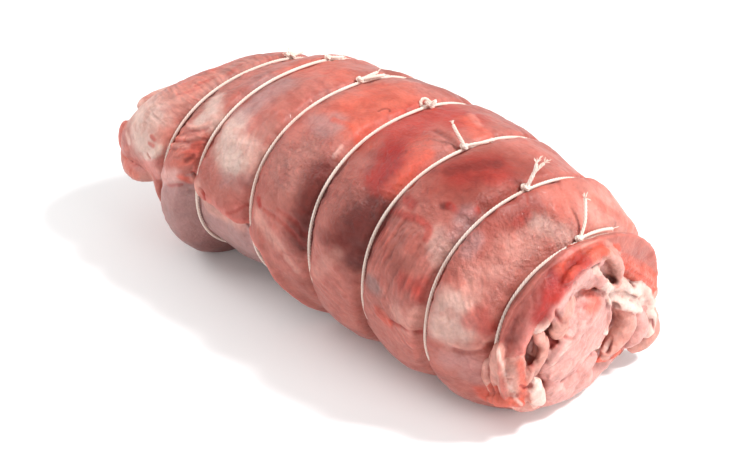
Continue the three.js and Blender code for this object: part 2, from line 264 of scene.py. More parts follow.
def swept(name, rows, columns):
    """A skin through the given rows, each a function of the angle, that closes at its first and last."""
    made, ring, angle = wrapped(name, columns, len(rows) - 1)
    skin = np.empty((len(ring), 3))
    for i, row in enumerate(rows):
        skin[ring == i] = row(angle[ring == i])
    for closed in (0, len(rows) - 1):
        skin[ring == closed] = skin[ring == closed].mean(0)
    skin[:, 2] = np.maximum(0, skin[:, 2])
    move(made.data, skin)
    apply_modifier(made, "WELD", merge_threshold=0.002)
    return made


# The wrap between its ties. Each span swells between two ties as a closed piece of its own, whose ends
# meet its neighbours' in the groove under the twine.
SPAN_ROWS = 68
SPAN_COLUMNS = 620
DISC_SIZES = [0, 0.5, 0.9]


def disc(place, size, angle):
    """A ring of the roll's section at a place, drawn in towards its middle."""
    at, side, _, high, _, _ = mix_ties(np.array(float(place)))
    middle = np.array([at, side, high + TIE_LIFT])
    return middle + (on_roll(place, angle) - middle) * size


spans = []
for span in range(FRONT):
    rows = [lambda angle, size=size: disc(span + 1, size, angle) for size in DISC_SIZES]
    shares = np.linspace(1, 0, SPAN_ROWS)
    rows += [lambda angle, share=share: on_roll(span + share, angle) for share in shares]
    rows += [lambda angle, size=size: disc(span, size, angle) for size in DISC_SIZES[::-1]]
    spans.append(swept(f"wrap_span_{span + 1}", rows, SPAN_COLUMNS))

# The two ends. Where the knife left the meat, rounded lobes of muscle and fat stand out: each is a sphere
# strung along a smooth line, with its half size across that line and along the roll, and all are fused.
BACK_FOLDS = [
    ("pale", 4.5, 4.5, [[-119, -58, 40], [-132, -59, 37], [-143, -56, 37], [-146.5, -55, 42]]),
    ("rose", 3.2, 3.2, [[-146, -55, 42], [-146.5, -55.5, 50], [-143.5, -56.5, 59]]),
    ("pale", 4.5, 4, [[-147, -36, 45], [-149, -20, 47], [-147, -4, 45]]),
    ("pale", 6, 4, [[-142, -46, 66], [-147, -22, 62], [-142, 4, 60]]),
    ("salmon", 6, 5, [[-143, 8, 36], [-145, -12, 35], [-145, -34, 36]]),
    ("lilac", 13, 9, [[-110, -36, 21], [-113, -10, 22], [-110, 22, 22]]),
]
FACE_FOLDS = [
    # the outer wrap's end: collar, flap and the jagged lobes beside it
    ("orange", 4.2, 4.5, [[107, 17, 71.5], [107, 6.5, 75], [107, -3, 75.5], [107, -11.5, 72.5]]),
    ("rose", 6.4, 5.5, [[106.5, -8, 75], [106.5, -18, 70], [106.5, -26.5, 63.5], [106.5, -33, 55.5],
        [106.5, -37, 47.5]]),
    ("pale", 4.8, 4.5, [[107.5, -36, 50.5], [107.5, -38, 42], [107.5, -37, 31], [107.5, -32.5, 19]]),
    ("pale", 3, 4.5, [[102, -42.5, 47], [102, -43, 39], [102, -42, 30]]),
    ("pale", 3.5, 4, [[97.5, -43.5, 38], [97.5, -42.5, 30], [97.5, -39, 21]]),
    ("salmon", 3, 5, [[99.5, -40.5, 24.5], [99.5, -36.5, 17.5], [99.5, -29, 10.5]]),
    ("salmon", 3, 3.5, [[96, -39, 16], [105, -40.5, 20.5], [111, -36.5, 20]]),
    # inside the flap
    ("pale", 1.7, 2.6, [[113, -3, 77], [113, -11, 75.5], [113, -16.5, 73]]),
    ("fat", 3.2, 3.2, [[110.5, -16, 67], [110.5, -22, 60], [110.5, -28.5, 54]]),
    ("pale", 3.4, 3, [[110.5, -28, 52], [110.5, -25, 43], [110.5, -29, 35], [110.5, -33.5, 30]]),
    # the core muscle, broad and nearly flat, in layers
    ("flesh", 16, 8, [[108.5, -13, 31], [108.5, -4, 38.5], [108.5, 5, 46]]),
    ("flesh", 7, 4.6, [[110, -20, 60], [110, -15, 67], [110, -5, 69.5], [110, 4, 64]]),
    ("pale", 5, 3.6, [[111.5, -12, 60], [111.5, -16, 55], [111.5, -17, 48]]),
    ("fat", 1.4, 2.2, [[113, 12, 54], [113, 13, 44], [113, 10, 35], [113, 7, 28]]),
    ("flesh", 5, 3, [[113.5, 4, 48], [113.5, -5, 44.5], [113.5, -14, 42], [113.5, -20.5, 37.5]]),
    ("flesh", 4.6, 2.8, [[112.8, 8, 33.5], [112.8, 0, 31], [112.8, -10, 29], [112.8, -19, 27]]),
    ("flesh", 6, 3.6, [[110.5, 6.5, 22], [110.5, -2.5, 19], [110.5, -11.5, 17]]),
    # fat and curled lobes above
    ("pale", 3, 4, [[111.5, 0, 78.5], [111.5, 8, 76.5], [111.5, 15.5, 69.5], [111.5, 18.5, 62],
        [111.5, 16.5, 57.5]]),
    ("flesh", 3.2, 3.2, [[111.5, -5, 75.5], [111.5, 1, 76], [111.5, 7, 71.5]]),
    ("fat", 3.4, 3, [[112, 2, 70], [112, 7.5, 62.5], [112, 12.5, 57]]),
    ("fat", 7, 5, [[108.5, 16, 52], [108.5, 26, 46], [108.5, 36, 40]]),
    ("fat", 3.6, 3.8, [[111.5, 13, 56], [111.5, 20, 55.5], [111.5, 27, 49], [111.5, 35, 44]]),
    ("fat", 2.6, 3.4, [[112.5, 19, 47.5], [112.5, 25, 43], [112.5, 34.5, 36]]),
    ("fat", 3.2, 3.2, [[110, 34, 49], [110, 41, 41], [110, 45.5, 33]]),
    # the muscles to the right
    ("pale", 4.6, 4.8, [[111, 26, 39.5], [111, 28, 31.5], [111, 23, 25], [111, 16, 21]]),
    ("flesh", 5, 4.4, [[109.5, 37, 32], [109.5, 39, 23.5], [109.5, 34.5, 17.5]]),
    ("pale", 5.6, 4.6, [[107, 46.5, 29], [107, 50, 19.5], [107, 48, 13], [107, 41, 10.5]]),
    ("fat", 2.4, 2.6, [[110.5, 44, 31], [110.5, 47, 24], [110.5, 44, 18]]),
    ("salmon", 2.4, 2.4, [[110.5, 12, 18.5], [110.5, 19.5, 17.5], [110.5, 25.5, 17.5]]),
    ("salmon", 4.4, 4.4, [[108.5, 21, 65.5], [108.5, 30.5, 57.5], [108.5, 39, 49.5], [108.5, 46, 41.5]]),
    ("pale", 2.8, 3, [[109.5, 45.5, 42.5], [109.5, 48.5, 36.5]]),
    # the underside
    ("fat", 4, 3.2, [[111, -29, 27], [111, -28, 21.5], [111, -26, 16.5]]),
    ("flesh", 6, 4, [[109.5, -17, 21], [109.5, -12.5, 14.5], [109.5, -6, 12]]),
    ("flesh", 4.8, 3.8, [[109.5, -1.5, 12.5], [109.5, 6, 14]]),
    ("flesh", 6, 4, [[106, -19, 10.5], [107, 0, 10], [105.5, 24, 10.5]]),
    ("pale", 3.6, 3.6, [[106.5, -29, 16.5], [106.5, -26, 12.5], [106, -21, 11]]),
]
FOLD_OVERRUN = 0.7
FOLD_ROWS = 25
FOLD_SIDES = 24
END_VOXEL = 0.62
# The cut face lies behind its lobes, and its lower edge is lifted clear of the floor.
FACE_SINK = 3
FACE_LIFT = 5


def smooth_line(points, count):
    return np.array([smooth_row(points, step) for step in np.linspace(0, len(points) - 1, count)])


def across_line(line):
    """Two directions across a line at each of its points."""
    tangent = np.gradient(line, axis=0)
    tangent /= np.linalg.norm(tangent, axis=1)[:, None]
    first = np.cross(tangent, [1, 0, 0.01])
    first /= np.linalg.norm(first, axis=1)[:, None]
    return tangent, first, np.cross(first, tangent)


def strung(name, line, across, out, sides):
    """A closed skin strung along a line, with half sizes across it and out of it at each point."""
    made, ring, turn = wrapped(name, sides, len(line) - 1)
    _, first, second = across_line(line)
    c, s = np.cos(turn)[:, None], np.sin(turn)[:, None]
    across, out = across[ring][:, None], out[ring][:, None]
    move(made.data, line[ring] + first[ring] * c * across - second[ring] * s * out)
    apply_modifier(made, "WELD", merge_threshold=0.0005)
    return made


def fold(width, depth, points):
    """A rounded lobe along a line."""
    tilt = np.linspace(0, math.pi, FOLD_ROWS)
    line = np.array([smooth_row(points, (1 - math.cos(t)) / 2 * (len(points) - 1)) for t in tilt])
    line = line - across_line(line)[0] * np.cos(tilt)[:, None] * width * FOLD_OVERRUN
    return strung("fold", line, np.sin(tilt) * width, np.sin(tilt) * depth, FOLD_SIDES)


def join(pieces):
    bpy.ops.object.select_all(action="DESELECT")
    for piece in pieces:
        piece.select_set(True)
    bpy.context.view_layer.objects.active = pieces[0]
    bpy.ops.object.join()
    return pieces[0]


def face_ring(step, angle):
    ring = front_end(step, angle)
    under = np.maximum(0, -np.sin(angle)) ** 2 * blend(step, 0, 2) * (1 - blend(step, 3, 6))
    ring[..., 0] -= FACE_SINK * blend(step, 2, 4)
    ring[..., 2] += FACE_LIFT * under
    return ring


# Each end closes with a shallow bowl that is hidden inside the roll.
HIDDEN_SIZES = np.linspace(0.02, 0.96, 16)
FACE_STEPS = np.linspace(len(FRONT_RINGS) - 1, 0, 60)
FACE_COLUMNS = 240
BACK_STEPS = np.linspace(0, len(BACK_RINGS) - 1, 72)
BACK_COLUMNS = 320


def bowl(place, size, angle, inward):
    return disc(place, size, angle) + [inward * (8 - 7 * size), 0, 0]


face_rows = [lambda angle, step=step: face_ring(step, angle) for step in FACE_STEPS]
face_rows += [lambda angle, size=size: bowl(FRONT, size, angle, -1) for size in HIDDEN_SIZES[::-1]]
face = swept("cut_front_end", face_rows, FACE_COLUMNS)
back_rows = [lambda angle, size=size: bowl(0, size, angle, 1) for size in HIDDEN_SIZES]
back_rows += [lambda angle: on_roll(0, angle)]
back_rows += [lambda angle, step=step: back_end(step, angle) for step in BACK_STEPS]
back = swept("wrap_back_end", back_rows, BACK_COLUMNS)
for end, end_folds in ((face, FACE_FOLDS), (back, BACK_FOLDS)):
    join([end] + [fold(*values) for _, *values in end_folds])
    apply_modifier(end, "REMESH", mode="VOXEL", voxel_size=END_VOXEL, use_smooth_shade=True)
    apply_modifier(end, "SMOOTH", factor=0.5, iterations=3)


# The tissues. Silver skin, fat, and muscle from pale to blood red, painted on and pressed into the meat
# as soft patches, creases, ridges and grain that follow the photograph's own places, with painted shade
# in the deepest pockets and creases.
def tint(hex_colour):
    """An sRGB hex colour as linear red, green and blue."""
    parts = [int(hex_colour[i:i + 2], 16) / 255 for i in (1, 3, 5)]
    return [p / 12.92 if p <= 0.04045 else ((p + 0.055) / 1.055) ** 2.4 for p in parts]


TISSUES = {
    "membrane": "#D8BAAE",
    "fat": "#E0C0B4",
    "pale": "#CE9588",
    "taupe": "#A9776D",
    "pink": "#B0665B",
    "rose": "#C4746B",
    "flesh": "#D09A92",
    "salmon": "#C8604D",
    "rust": "#8F3D32",
    "orange": "#CB5039",
    "red": "#A8281E",
    "blood": "#96120A",
    "dusky": "#672019",
    "lilac": "#A97E7A",
    "bruise": "#7C6866",
    # painted shade, for the deepest pockets and creases
    "recess_shade": "#3A0E0A",
}
COLOUR = {name: np.array(tint(value)) for name, value in TISSUES.items()}
# Marks: tissue, strength, relief in mm, reach in mm, and the line it follows as (place, angle) on the
# roll or [x, y, z] on an end. Some dark marks are painted shade or painted shadow, as noted above them.
ROLL_MARKS = [
    # behind the first tie
    ("pale", 0.7, 0, 18, [[-120, -48, 78], [-114, -40, 82], [-111, -30, 85]]),
    ("salmon", 0.45, 0, 16, [[-117, -35, 83], [-116, -22, 85], [-117, -7, 85]]),
    ("membrane", 0.8, 0, 17, [[-133, -52, 70], [-126, -60, 65], [-120, -62, 60]]),
    ("membrane", 0.5, 0, 9, [[-117, -54, 74], [-109, -56, 70], [-109, -60, 63]]),
    ("red", 0.35, -0.2, 2.2, [[-125, -22, 81], [-118, -19, 84]]),
    ("red", 0.3, -0.2, 1.8, [[-112, -34, 84], [-111, -30, 85], [-110, -25, 86]]),
    ("red", 0.25, -0.2, 1.8, [[-116, -43, 81], [-112, -39, 83], [-109, -34, 84]]),
    # partly a slight dip, partly painted shade beside string A
    ("dusky", 0.25, -0.2, 2, [[-120, -50, 76], [-111, -48, 78], [-105, -43, 80]]),
    ("salmon", 0.55, 0.3, 4, [[-141, -58, 60], [-146, -57, 52], [-145, -58, 45], [-138, -60, 39],
        [-128, -62, 38]]),
    ("rose", 0.7, 0, 6, [[-133, -58, 42], [-117, -63, 48], [-108, -62, 52]]),
    ("fat", 0.6, 0.2, 2.5, [[-136, -60, 57], [-134, -61, 54]]),
    ("membrane", 0.85, 0.5, 3, [[-118, -63, 53], [-111, -62, 57], [-108, -61, 61]]),
    ("red", 0.5, -0.8, 1.5, [[-116, -63, 55], [-114, -63, 54]]),
    ("red", 0.6, 0.4, 2, [[-114, -61, 65], [-112, -61, 64]]),
    ("red", 0.6, 0.4, 2, [[-115, -62, 61], [-112, -62, 61]]),
    # first span
    ("taupe", 0.6, 0, 14, [[-114, -3, 86], [-104, -25, 85], (0.18, 127)]),
    ("membrane", 0.75, 0, 9, [(0.42, 125), (0.72, 134), (0.68, 139)]),
    ("red", 0.3, -0.2, 1.8, [[-111, -9, 87], [-106, -20, 87], [-105, -29, 85]]),
    ("salmon", 0.4, 0, 12, [[-105, -56, 65], (0.56, 154), (0.83, 151)]),
    ("red", 0.35, 0, 6, [(0.82, 156), (0.85, 153)]),
    ("pale", 0.75, 0.7, 1.8, [[-103, -48, 73], (0.57, 143), (0.84, 139)]),
    # partly a slight dip, partly the painted shadow under the torn membrane's edge just above it
    ("red", 0.4, -0.5, 1.6, [[-101, -51, 69], (0.66, 145), (0.85, 142)]),
    ("pale", 0.4, 0.4, 1.8, [[-106, -57, 67], [-103, -53, 66], (0.51, 149)]),
    ("pale", 0.4, 0.4, 1.8, [[-105, -57, 62], (0.35, 153), (0.73, 154)]),
    ("pale", 0.4, 0.4, 1.8, [(0.62, 150), (0.79, 148), (0.84, 146)]),
    ("red", 0.3, -0.4, 1.4, [[-106, -57, 65], (0.26, 151), (0.66, 151)]),
    ("salmon", 0.4, 0.3, 4, [[-105, -59, 53], (0.6, 163), (0.85, 160)]),
    ("dusky", 0.7, -0.8, 2, [(0.8, 161), (0.88, 158)]),
    ("flesh", 0.95, 1.4, 6, [[-107, -61, 47], (0.37, 172), (0.64, 170)]),
    ("orange", 0.75, 0.6, 3.6, [(0.75, 171), (0.85, 173)]),
    ("red", 0.4, -0.5, 1.4, [[-107, -60, 41], (0.51, 177), (0.73, 176)]),
    # second span
    ("lilac", 0.75, 0, 14, [(1.02, 110), (1.29, 108), (1.28, 125)]),
    ("lilac", 0.6, 0, 5, [(1.32, 119), (1.33, 126)]),
    ("lilac", 0.5, 0, 4, [(1.36, 132), (1.02, 130)]),
    ("taupe", 0.5, 0, 10, [(1.9, 133), (1.9, 143), (1.88, 151)]),
    ("membrane", 0.75, 0, 15, [(1.3, 136), (1.39, 144), (1.69, 147)]),
    ("membrane", 0.7, 0, 7, [(1.58, 151), (1.72, 151)]),
    ("salmon", 0.5, 0, 15, [(1.15, 91), (1.17, 80), (1.64, 85)]),
    ("lilac", 0.5, 0, 8, [(1.6, 159), (1.84, 159)]),
    ("pink", 0.5, 0.3, 3, [(1.38, 160), (1.52, 161)]),
    ("red", 0.65, -1.1, 1.5, [(0.92, 167), (1.34, 171), (1.41, 179), (1.81, 180)]),
    ("pale", 0.8, 0.5, 5, [(1.21, 170), (1.18, 183), (1.48, 187)]),
    ("rose", 0.4, 0, 8, [(1.88, 171), (1.95, 174), (2, 168)]),
    ("pale", 0.6, 0, 5, [(0.95, 172), (1.3, 178), (1.5, 184), (1.8, 186)]),
    ("red", 0.35, -0.4, 1.4, [(1.78, 176), (1.9, 173), (1.96, 170)]),
    # third span
    ("taupe", 0.35, 0, 14, [(2.56, 135), (2.67, 148), (2.46, 141)]),
    ("pale", 0.55, 0, 6, [(2.21, 169), (2.39, 176), (2.6, 181)]),
    ("pale", 0.5, 0.4, 3, [(2.71, 186), (2.84, 192)]),
    # painted shade: the dark flank just behind string D on the near side, over a slight dip
    ("dusky", 0.9, -0.5, 13, [(2.9, 138), (2.94, 150), (2.93, 162), (2.92, 172)]),
    ("salmon", 0.85, 0, 20, [(2.42, 86), (2.79, 89), (2.58, 105), (2.91, 108)]),
    ("orange", 0.6, 0, 8, [(3, 110), (3.15, 119)]),
    ("lilac", 0.65, 0, 8, [(2.35, 118), (2.61, 120), (2.51, 113)]),
    ("orange", 0.5, 0.3, 2.5, [(2.5, 114), (2.77, 114), (2.96, 117)]),
    ("dusky", 0.6, -0.3, 0.9, [(2.8, 99), (2.79, 96), (2.83, 94), (2.87, 95)]),
    ("red", 0.8, 0, 2.6, [(2.21, 162), (2.26, 164)]),
    ("fat", 0.85, 1.3, 2.2, [(2, 167), (2, 168)]),
    ("red", 0.3, -0.5, 2, [(2.36, 165), (2.73, 168), (2.93, 176)]),
    ("red", 0.25, -0.4, 2, [(2.56, 162), (2.83, 164), (2.94, 170)]),
    ("dusky", 0.3, -0.3, 2.4, [(2.77, 155), (2.91, 157)]),
    ("pink", 0.5, 0, 9, [(2.94, 189), (3.13, 194)]),
    ("membrane", 0.35, 0.3, 2, [(2.91, 129), (2.9, 124)]),
    # fourth span
    ("red", 0.75, 0, 20, [(3.29, 103), (3.2, 88), (3.25, 78), (3.52, 78)]),
    ("blood", 0.95, 0, 15, [(3.54, 116), (3.73, 120), (3.69, 128)]),
    ("orange", 0.8, 0, 6, [(3.86, 110), (3.9, 121), (3.9, 132)]),
    ("orange", 0.6, 0, 8, [(3.72, 112), (3.66, 104)]),
    ("rust", 0.35, 0, 14, [(3.39, 136), (3.28, 123), (3.5, 145)]),
    ("red", 0.45, 0.2, 5, [(3.56, 130), (3.75, 135), (3.85, 132)]),
    # painted shade: the dark flank just behind string E on the near side, over a slight dip
    ("dusky", 0.92, -0.5, 14, [(3.7, 160), (3.9, 142), (3.93, 155), (3.9, 168)]),
    ("dusky", 0.5, 0, 6, [(3.49, 163), (3.35, 162)]),
    ("pale", 0.3, 0.4, 5, [(3.31, 184), (3.5, 176), (3.66, 168)]),
    ("pink", 0.6, 0, 12, [(3.6, 190), (3.81, 193)]),
    # partly a crease, partly the painted shadow of string E's tail
    ("dusky", 0.4, -0.8, 3, [(3.56, 94), (3.71, 94), (3.92, 96)]),
    ("salmon", 0.6, 0, 8, [(3.58, 76), (3.88, 80)]),
    ("pale", 0.3, 0.4, 3, [(3.5, 72), (3.73, 75)]),
    # fifth span
    ("rust", 0.9, 0, 22, [(4.5, 115), (4.47, 99), (4.65, 88)]),
    ("blood", 0.5, 0, 14, [(4.4, 108), (4.55, 98)]),
    ("dusky", 0.6, 0, 5.5, [(4.3, 112), (4.41, 104), (4.54, 94)]),
    ("red", 0.3, 0, 6, [(4.74, 102), (4.79, 96)]),
    # a small pit, darkened partly as painted shade
    ("dusky", 0.8, -1, 3, [(4.62, 126), (4.66, 125)]),
    ("red", 0.65, 0.4, 2.5, [(4.66, 124), (4.79, 124), (4.89, 121), (4.91, 118)]),
    ("blood", 0.6, -0.4, 4, [(4.19, 132), (4.32, 133)]),
    ("red", 0.6, 0.3, 2.8, [(4.04, 140), (4.36, 138), (4.53, 136), (4.67, 137), (4.7, 141)]),
    ("membrane", 0.4, 0, 8, [(4.78, 139), (4.9, 143), (4.92, 140)]),
    ("lilac", 0.6, 0, 6, [(4.87, 126), (4.87, 122), (4.96, 133)]),
    ("rust", 0.4, 0, 12, [(4.21, 149), (4.43, 159), (4.59, 163)]),
    ("bruise", 0.6, -0.3, 6, [(4.22, 174), (4.33, 175)]),
    ("red", 0.45, 0, 6, [(4.68, 164), (4.83, 163)]),
    ("pale", 0.6, 0, 7, [(4.67, 181), (4.85, 185), (4.92, 177)]),
    ("orange", 0.65, 0.3, 4, [(4.39, 187), (4.54, 191)]),
    ("red", 0.45, 0, 5, [(4.91, 167), (4.9, 159)]),
    ("red", 0.5, -0.7, 1.6, [(4.57, 189), (4.8, 187), (4.95, 189)]),
    # sixth span
    ("salmon", 0.4, 0, 16, [(5.38, 89), (5.62, 72)]),
    # painted shadow of string F, a dark line just ahead of it, over a slight dip
    ("dusky", 0.7, -0.4, 2.2, [(5.06, 91), (5.1, 84), (5.13, 77)]),
    ("rust", 0.9, 0, 14, [(5.4, 105), (5.6, 100)]),
    ("rust", 0.75, 0, 16, [(5.08, 114), (5.05, 101), (5.29, 125)]),
    ("lilac", 0.65, 0, 6, [(5.26, 129), (5.26, 135), (5.01, 123)]),
    ("pale", 0.45, 0, 10, [(5.61, 121), (5.65, 130), (5.67, 110)]),
    ("membrane", 0.4, 0, 8, [(5.61, 101), (5.87, 93)]),
    ("pale", 0.5, 0, 10, [(5.55, 140), (5.58, 151)]),
    ("membrane", 0.6, 0, 13, [(5.41, 161), (5.54, 169), (5.37, 171)]),
    ("red", 0.5, 0.4, 6, [(5.67, 161), (5.75, 155), (5.84, 160), (5.96, 161)]),
    ("pale", 0.3, 0.5, 2, [(5.49, 179), (5.64, 178), (5.8, 175), (5.89, 170), (5.99, 162)]),
    # partly a crease, partly the painted shadow under the edge of the flap above it
    ("rust", 0.5, -0.6, 2, [(5.55, 182), (5.72, 180), (5.84, 177), (5.95, 172), [105, -45, 55]]),
    ("lilac", 0.5, 0, 9, [(5.46, 191), (5.67, 187), (5.73, 196)]),
    ("pale", 0.7, 0, 22, [(5.75, 50), [113, 32, 70], (5.83, 64)]),
    ("orange", 0.4, 0, 4, [(5.57, 64), (5.74, 58), (5.84, 39)]),
    ("red", 0.4, 0, 3, [(5.88, 82), (5.93, 78)]),
    ("red", 0.4, 0, 4, [(5.46, 110), (5.44, 104)]),
    ("orange", 0.75, 0.5, 5, [(5.78, 209), (5.85, 221), [111, -41, 23]]),
    # the far side and the back end's inside
    ("membrane", 0.55, 0, 20, [(0.4, 42), (1.3, 30), (2.1, 36)]),
    ("lilac", 0.6, 0, 18, [(1.1, -12), (2.2, -18), (3, -6)]),
    ("dusky", 0.4, 0, 14, [(1.9, 58), (2.7, 52)]),
    ("fat", 0.45, 0.5, 9, [(2.6, 16), (3.3, 8), (3.9, 20)]),
    ("rust", 0.6, 0, 18, [(3.2, 52), (4.1, 42), (4.7, 22)]),
    ("membrane", 0.55, 0, 14, [(4.4, 2), (5.2, -8), (5.7, 10)]),
    ("pale", 0.5, 0.6, 4, [(0.2, 5), (0.9, -4), (1.8, 6), (2.4, 0)]),
    ("red", 0.35, -0.5, 2, [(2.1, 22), (2.8, 30), (3.6, 26), (4.3, 34)]),
    ("lilac", 0.5, 0, 12, [[-138, -10, 40], [-134, 12, 50], [-124, 34, 60]]),
    ("membrane", 0.5, 0.3, 10, [[-144, -34, 66], [-140, -6, 68], [-130, 22, 70]]),
    ("red", 0.35, -0.6, 2, [[-146, -44, 56], [-148, -22, 55], [-145, 0, 52]]),
]
FACE_MARKS = [
    # the outer wrap's end
    ("dusky", 0.5, 0, 7, [[110, -18.5, 77.5], [109.5, -29.5, 71], [108.5, -37, 62.5], [107.5, -41.5, 53]]),
    ("blood", 0.9, 0, 7, [[111, -17, 73.5], [110.5, -23.5, 67.5], [109.5, -28.5, 60.5]]),
    ("orange", 0.9, 0, 5, [[113.5, 8, 78.5], [112, -3, 78], [111.5, -14, 76]]),
    ("red", 0.85, 0, 5, [[112, -4.5, 77], [111.5, -13, 73], [110.5, -21, 67]]),
    ("pale", 0.5, 0.3, 4, [[107.5, -44, 49], [109.5, -41.5, 38], [111.5, -39, 28]]),
    ("orange", 0.7, 0, 3.5, [[109.5, -39, 42], [110.5, -36.5, 31], [112, -34.5, 21.5]]),
    ("red", 0.6, -0.8, 1.4, [[108.5, -38.5, 46.5], [109.5, -33, 41], [109.5, -30.5, 36]]),
    ("red", 0.6, -0.8, 1.4, [[110.5, -38, 30], [110.5, -33, 26], [110.5, -31.5, 27.5]]),
    ("membrane", 0.6, 0.4, 1.4, [[105, -46.5, 50.5], [108.5, -44.5, 40.5], [110, -41.5, 29.5],
        [112, -37.5, 20.5]]),
    # a crease along the collar's inside, darkened with painted shade
    ("recess_shade", 0.45, -1.8, 1.8, [[111.5, -11, 70.5], [109.5, -13.5, 61], [108.5, -20.5, 53],
        [108.5, -27, 46], [109, -29.5, 39], [110, -31, 30]]),
    # the pockets and creases of the cut face, the deepest darkened with painted shade
    ("recess_shade", 0.8, -1.6, 1.8, [[113, 7, 69.5], [114, 9.5, 65.5], [111.5, 16.5, 58.5]]),
    ("recess_shade", 0.7, -1.6, 1.5, [[112.5, 0.5, 73.5], [113, 3.5, 73]]),
    ("blood", 0.75, -1.8, 2.6, [[113.5, -3, 61], [116, -3, 58], [117, -2.5, 54.5]]),
    ("orange", 0.75, 0, 5, [[116, 2, 59], [117, 5, 53.5], [118, 0.5, 53]]),
    ("red", 0.6, -0.8, 1.4, [[115, -2, 60.5], [115.5, 3.5, 60], [116.5, 7, 55.5]]),
    ("red", 0.85, -0.3, 2.6, [[108.5, -20.5, 44.5], [109.5, -19.5, 41.5]]),
    ("red", 0.6, -1.2, 1.5, [[115.5, -21, 61.5], [108.5, -16.5, 47], [112, -19, 44.5]]),
    ("rose", 0.6, -0.8, 1.4, [[115, -15.5, 46], [118, -12.5, 44.5], [118.5, -8, 46]]),
    ("dusky", 0.75, -1.8, 1.8, [[116.5, 16, 48.5], [110.5, 22.5, 35], [112.5, 18, 28.5], [112.5, 15, 23]]),
    ("red", 0.8, -1, 1.4, [[116.5, -23.5, 29], [116, -23.5, 23.5], [115.5, -22, 17.5]]),
    ("red", 0.4, -0.5, 1.2, [[116.5, -22.5, 28], [118, -17.5, 27.5], [117, -10, 23.5]]),
    ("fat", 0.7, 0.4, 1.2, [[110.5, 18.5, 39], [109, 19.5, 29.5], [110, 14, 23]]),
    ("fat", 0.45, 0.3, 1, [[119.5, -5.5, 44.5], [118, -13, 41.5], [117, -19, 39]]),
    ("membrane", 0.5, -0.6, 1, [[118.5, 0.5, 46], [119, -9.5, 42.5], [117, -17.5, 40.5]]),
    ("membrane", 0.5, -0.6, 1, [[109.5, 16, 25], [118, -4.5, 30.5], [118, -18.5, 26]]),
    ("fat", 0.7, 0.4, 2, [[116, -21.5, 35], [117, -21, 32]]),
    ("orange", 0.8, -0.6, 1.8, [[113, 23.5, 63.5], [113.5, 32, 55], [113, 42, 46.5]]),
    ("dusky", 0.6, -1.4, 1.5, [[117, 20.5, 51.5], [115.5, 30, 45]]),
    ("dusky", 0.6, -1.4, 1.4, [[111, 28, 50.5], [111.5, 30, 51]]),
    ("blood", 0.8, -1.6, 1.8, [[115, 45, 25], [115, 47, 20.5]]),
    ("orange", 0.8, 0, 2, [[112, 13.5, 17], [109, 24, 13], [107, 31.5, 12]]),
    ("red", 0.5, -1.2, 1.6, [[109, 33, 13.5], [112, 36, 16], [113, 39, 14]]),
]
# Grain: strength, spacing in mm, direction in degrees from the roll's length to its girth, reach, line.
GRAINS = [
    (0.9, 1.5, 8, 24, [[-122, -45, 80], [-112, -20, 86], [-110, 10, 86]]),
    (0.6, 1.5, 4, 16, [(0.3, 125), (0.6, 105)]),
    (1.3, 1.7, -8, 11, [(0.3, 150), (0.6, 152), (0.85, 152)]),
    (0.4, 1.8, 60, 14, [(1.5, 150), (1.9, 140)]),
    (0.5, 2, 62, 12, [(2.3, 172), (2.8, 180)]),
    (0.4, 1.6, 35, 14, [(3.2, 165), (3.8, 170)]),
    (0.5, 2, 30, 12, [(3.4, 190), (3.8, 195)]),
    (1, 1.3, 96, 19, [(4.25, 150), (4.5, 165), (4.75, 150)]),
    (0.7, 1.8, 50, 12, [(4.4, 183), (4.8, 190)]),
    (0.8, 1.9, 58, 16, [(5.3, 140), (5.5, 148)]),
    (0.5, 1.8, 75, 14, [(5.5, 165), (5.8, 160)]),
    (0.4, 1.6, 20, 20, [(5.2, 100), (5.7, 90)]),
    (0.5, 2.2, 54, 10, [[110, -17, 75], [108, -35, 58], [108, -42, 40]]),
    (0.8, 1.7, 40, 24, [[115, -16, 30], [116, 0, 45]]),
    (0.7, 1.6, 10, 26, [(0.5, 30), (1.6, 18)]),
    (0.6, 1.7, 68, 26, [(2.3, 8), (3.6, 16)]),
    (0.7, 1.5, 30, 24, [(4.3, 10), (5.5, 18)]),
]
# Granules, where fat and juice bead under the skin, and wet places: strength, reach in mm and line.
GRANULES = [
    (0.8, 16, [(2.4, 145), (2.6, 130)]),
    (0.9, 16, [(3.2, 140), (3.5, 145)]),
    (0.6, 12, [(4.1, 130), (4.5, 132)]),
    (1, 15, [(5.3, 135), (5.6, 118)]),
    (1, 11, [(5.6, 104), (5.87, 93)]),
    (0.5, 9, [(1.35, 160), (1.6, 162)]),
    (0.7, 10, [[109, -40, 40], [110, -38, 28]]),
]
WET = [
    (1, 13, [(3.75, 108), (3.85, 118), (3.9, 128)]),
    (0.9, 12, [(5.6, 104), (5.87, 93)]),
    (0.8, 9, [[112, -4, 78], [111, -18, 74]]),
    (0.5, 22, [(3.5, 105), (3.5, 135)]),
    (0.45, 18, [(2.4, 140), (2.7, 130)]),
    (0.5, 24, [[116, 0, 60], [114, 25, 50]]),
]


def ripple(at, size, seed):
    """Soft noise between -1 and 1 whose bumps are size mm across."""
    return np.array([noise.noise(p) for p in (at / size + seed * 17.3).tolist()])


def place_and_angle(at):
    """Where points lie on the roll: place in ties, angle round it, distance along it, share of its girth."""
    place = np.interp(at[:, 0], TIES[:, 0], np.arange(FRONT + 1))
    for _ in range(3):
        _, side, wide, high, yaw, lean = mix_ties(place).T
        y, z = at[:, 1] - side, at[:, 2] - high - TIE_LIFT
        along = at[:, 0] - np.tan(np.radians(yaw)) * y - np.tan(np.radians(lean)) * z
        place = np.interp(along, TIES[:, 0], np.arange(FRONT + 1))
    share = (np.abs(y / wide) ** SQUARENESS + np.abs(z / high) ** SQUARENESS) ** (1 / SQUARENESS)
    return place, np.arctan2(z / high, y / wide), along, share


